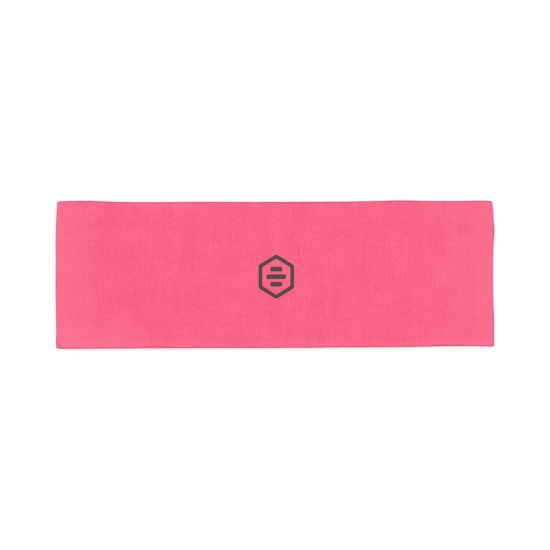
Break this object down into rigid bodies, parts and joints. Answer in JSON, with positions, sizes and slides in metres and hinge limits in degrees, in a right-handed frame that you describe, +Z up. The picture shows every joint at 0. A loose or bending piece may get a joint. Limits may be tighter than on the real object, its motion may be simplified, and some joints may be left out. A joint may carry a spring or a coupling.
{
  "type": "sports headband",
  "caption": "Wide flat loop of double-layer stretch knit, seamed along both edges, with a printed emblem on the front; lies flat and opens to a ring.",
  "frame": {"origin": "centre of the flat band's outline, on the surface it lies on", "axes": "+Z up, out of the printed front half; +X along the flat width, to the right with the emblem upright; +Y towards the band's top edge"},
  "size_m": [0.24, 0.08, 0.0088],
  "materials": {
    "outer_knit": "fine matte polyester and elastane knit, bright pink",
    "lining_knit": "matte knit lining, the same pink",
    "seam_edges": "overlocked knit edges with pink thread",
    "label_satin": "white satin tape, blank",
    "label_thread": "pale pink sewing thread",
    "print_ink": "matte dark grey transfer print"
  },
  "bodies": {
    "back_centre_left": {"outer_back_centre_left": "outer_knit", "lining_back_centre_left": "lining_knit", "back_seam_allowance_left": "seam_edges", "care_label": "label_satin", "label_stitches": "label_thread"},
    "back_left_1": {"outer_back_left_1": "outer_knit", "lining_back_left_1": "lining_knit"},
    "back_left_2": {"outer_back_left_2": "outer_knit", "lining_back_left_2": "lining_knit"},
    "back_left_3": {"outer_back_left_3": "outer_knit", "lining_back_left_3": "lining_knit"},
    "back_left_4": {"outer_back_left_4": "outer_knit", "lining_back_left_4": "lining_knit"},
    "back_left_5": {"outer_back_left_5": "outer_knit", "lining_back_left_5": "lining_knit"},
    "fold_left": {"outer_fold_left": "outer_knit", "lining_fold_left": "lining_knit"},
    "front_left_5": {"outer_front_left_5": "outer_knit", "lining_front_left_5": "lining_knit"},
    "front_left_4": {"outer_front_left_4": "outer_knit", "lining_front_left_4": "lining_knit"},
    "front_left_3": {"outer_front_left_3": "outer_knit", "lining_front_left_3": "lining_knit"},
    "front_left_2": {"outer_front_left_2": "outer_knit", "lining_front_left_2": "lining_knit"},
    "front_left_1": {"outer_front_left_1": "outer_knit", "lining_front_left_1": "lining_knit"},
    "front_centre": {"outer_front_centre": "outer_knit", "lining_front_centre": "lining_knit", "emblem_outline": "print_ink", "emblem_bars": "print_ink"},
    "front_right_1": {"outer_front_right_1": "outer_knit", "lining_front_right_1": "lining_knit"},
    "front_right_2": {"outer_front_right_2": "outer_knit", "lining_front_right_2": "lining_knit"},
    "front_right_3": {"outer_front_right_3": "outer_knit", "lining_front_right_3": "lining_knit"},
    "front_right_4": {"outer_front_right_4": "outer_knit", "lining_front_right_4": "lining_knit"},
    "front_right_5": {"outer_front_right_5": "outer_knit", "lining_front_right_5": "lining_knit"},
    "fold_right": {"outer_fold_right": "outer_knit", "lining_fold_right": "lining_knit"},
    "back_right_5": {"outer_back_right_5": "outer_knit", "lining_back_right_5": "lining_knit"},
    "back_right_4": {"outer_back_right_4": "outer_knit", "lining_back_right_4": "lining_knit"},
    "back_right_3": {"outer_back_right_3": "outer_knit", "lining_back_right_3": "lining_knit"},
    "back_right_2": {"outer_back_right_2": "outer_knit", "lining_back_right_2": "lining_knit"},
    "back_right_1": {"outer_back_right_1": "outer_knit", "lining_back_right_1": "lining_knit"},
    "back_centre_right": {"outer_back_centre_right": "outer_knit", "lining_back_centre_right": "lining_knit", "back_seam_allowance_right": "seam_edges"}
  },
  "joints": [
    {"name": "back_left_bend_1", "type": "hinge", "parent": "back_centre_left", "child": "back_left_1", "pos_m": [-0.01051, 0, 0.0019], "axis": [0, 1, 0], "range_deg": [0, 16.9]},
    {"name": "back_left_bend_2", "type": "hinge", "parent": "back_left_1", "child": "back_left_2", "pos_m": [-0.03151, 0, 0.0019], "axis": [0, 1, 0], "range_deg": [0, 16.9]},
    {"name": "back_left_bend_3", "type": "hinge", "parent": "back_left_2", "child": "back_left_3", "pos_m": [-0.05252, 0, 0.0019], "axis": [0, 1, 0], "range_deg": [0, 16.9]},
    {"name": "back_left_bend_4", "type": "hinge", "parent": "back_left_3", "child": "back_left_4", "pos_m": [-0.07353, 0, 0.0019], "axis": [0, 1, 0], "range_deg": [0, 16.9]},
    {"name": "back_left_bend_5", "type": "hinge", "parent": "back_left_4", "child": "back_left_5", "pos_m": [-0.09454, 0, 0.0019], "axis": [0, 1, 0], "range_deg": [0, 16.9]},
    {"name": "left_fold", "type": "hinge", "parent": "back_left_5", "child": "fold_left", "pos_m": [-0.1181, 0, 0.0019], "axis": [0, -1, 0], "range_deg": [0, 84], "deforming": ["outer_fold_left", "lining_fold_left"]},
    {"name": "left_fold_upper", "type": "hinge", "parent": "fold_left", "child": "front_left_5", "pos_m": [-0.1181, 0, 0.0067], "axis": [0, -1, 0], "range_deg": [0, 84.2], "deforming": ["outer_fold_left", "lining_fold_left"]},
    {"name": "front_left_bend_5", "type": "hinge", "parent": "front_left_5", "child": "front_left_4", "pos_m": [-0.09454, 0, 0.0067], "axis": [0, 1, 0], "range_deg": [0, 16.9]},
    {"name": "front_left_bend_4", "type": "hinge", "parent": "front_left_4", "child": "front_left_3", "pos_m": [-0.07353, 0, 0.0067], "axis": [0, 1, 0], "range_deg": [0, 16.9]},
    {"name": "front_left_bend_3", "type": "hinge", "parent": "front_left_3", "child": "front_left_2", "pos_m": [-0.05252, 0, 0.0067], "axis": [0, 1, 0], "range_deg": [0, 16.9]},
    {"name": "front_left_bend_2", "type": "hinge", "parent": "front_left_2", "child": "front_left_1", "pos_m": [-0.03151, 0, 0.0067], "axis": [0, 1, 0], "range_deg": [0, 16.9]},
    {"name": "front_left_bend_1", "type": "hinge", "parent": "front_left_1", "child": "front_centre", "pos_m": [-0.01051, 0, 0.0067], "axis": [0, 1, 0], "range_deg": [0, 16.9]},
    {"name": "front_right_bend_1", "type": "hinge", "parent": "front_centre", "child": "front_right_1", "pos_m": [0.01051, 0, 0.0067], "axis": [0, 1, 0], "range_deg": [0, 16.9]},
    {"name": "front_right_bend_2", "type": "hinge", "parent": "front_right_1", "child": "front_right_2", "pos_m": [0.03151, 0, 0.0067], "axis": [0, 1, 0], "range_deg": [0, 16.9]},
    {"name": "front_right_bend_3", "type": "hinge", "parent": "front_right_2", "child": "front_right_3", "pos_m": [0.05252, 0, 0.0067], "axis": [0, 1, 0], "range_deg": [0, 16.9]},
    {"name": "front_right_bend_4", "type": "hinge", "parent": "front_right_3", "child": "front_right_4", "pos_m": [0.07353, 0, 0.0067], "axis": [0, 1, 0], "range_deg": [0, 16.9]},
    {"name": "front_right_bend_5", "type": "hinge", "parent": "front_right_4", "child": "front_right_5", "pos_m": [0.09454, 0, 0.0067], "axis": [0, 1, 0], "range_deg": [0, 16.9]},
    {"name": "right_fold_upper", "type": "hinge", "parent": "front_right_5", "child": "fold_right", "pos_m": [0.1181, 0, 0.0067], "axis": [0, -1, 0], "range_deg": [0, 84.2], "deforming": ["outer_fold_right", "lining_fold_right"]},
    {"name": "right_fold", "type": "hinge", "parent": "fold_right", "child": "back_right_5", "pos_m": [0.1181, 0, 0.0019], "axis": [0, -1, 0], "range_deg": [0, 84.2], "deforming": ["outer_fold_right", "lining_fold_right"]},
    {"name": "back_right_bend_5", "type": "hinge", "parent": "back_right_5", "child": "back_right_4", "pos_m": [0.09454, 0, 0.0019], "axis": [0, 1, 0], "range_deg": [0, 16.9]},
    {"name": "back_right_bend_4", "type": "hinge", "parent": "back_right_4", "child": "back_right_3", "pos_m": [0.07353, 0, 0.0019], "axis": [0, 1, 0], "range_deg": [0, 16.9]},
    {"name": "back_right_bend_3", "type": "hinge", "parent": "back_right_3", "child": "back_right_2", "pos_m": [0.05252, 0, 0.0019], "axis": [0, 1, 0], "range_deg": [0, 16.9]},
    {"name": "back_right_bend_2", "type": "hinge", "parent": "back_right_2", "child": "back_right_1", "pos_m": [0.03151, 0, 0.0019], "axis": [0, 1, 0], "range_deg": [0, 16.9]},
    {"name": "back_right_bend_1", "type": "hinge", "parent": "back_right_1", "child": "back_centre_right", "pos_m": [0.01051, 0, 0.0019], "axis": [0, 1, 0], "range_deg": [0, 16.9]}
  ],
  "couplings": [
    {"joint": "back_left_bend_1", "follows": "left_fold", "ratio": 0.2},
    {"joint": "back_left_bend_2", "follows": "left_fold", "ratio": 0.2},
    {"joint": "back_left_bend_3", "follows": "left_fold", "ratio": 0.2},
    {"joint": "back_left_bend_4", "follows": "left_fold", "ratio": 0.2},
    {"joint": "back_left_bend_5", "follows": "left_fold", "ratio": 0.2},
    {"joint": "left_fold_upper", "follows": "left_fold", "ratio": 1},
    {"joint": "front_left_bend_5", "follows": "left_fold", "ratio": 0.2},
    {"joint": "front_left_bend_4", "follows": "left_fold", "ratio": 0.2},
    {"joint": "front_left_bend_3", "follows": "left_fold", "ratio": 0.2},
    {"joint": "front_left_bend_2", "follows": "left_fold", "ratio": 0.2},
    {"joint": "front_left_bend_1", "follows": "left_fold", "ratio": 0.2},
    {"joint": "front_right_bend_1", "follows": "left_fold", "ratio": 0.2},
    {"joint": "front_right_bend_2", "follows": "left_fold", "ratio": 0.2},
    {"joint": "front_right_bend_3", "follows": "left_fold", "ratio": 0.2},
    {"joint": "front_right_bend_4", "follows": "left_fold", "ratio": 0.2},
    {"joint": "front_right_bend_5", "follows": "left_fold", "ratio": 0.2},
    {"joint": "right_fold_upper", "follows": "left_fold", "ratio": 1},
    {"joint": "right_fold", "follows": "left_fold", "ratio": 1},
    {"joint": "back_right_bend_5", "follows": "left_fold", "ratio": 0.2},
    {"joint": "back_right_bend_4", "follows": "left_fold", "ratio": 0.2},
    {"joint": "back_right_bend_3", "follows": "left_fold", "ratio": 0.2},
    {"joint": "back_right_bend_2", "follows": "left_fold", "ratio": 0.2},
    {"joint": "back_right_bend_1", "follows": "left_fold", "ratio": 0.2}
  ]
}
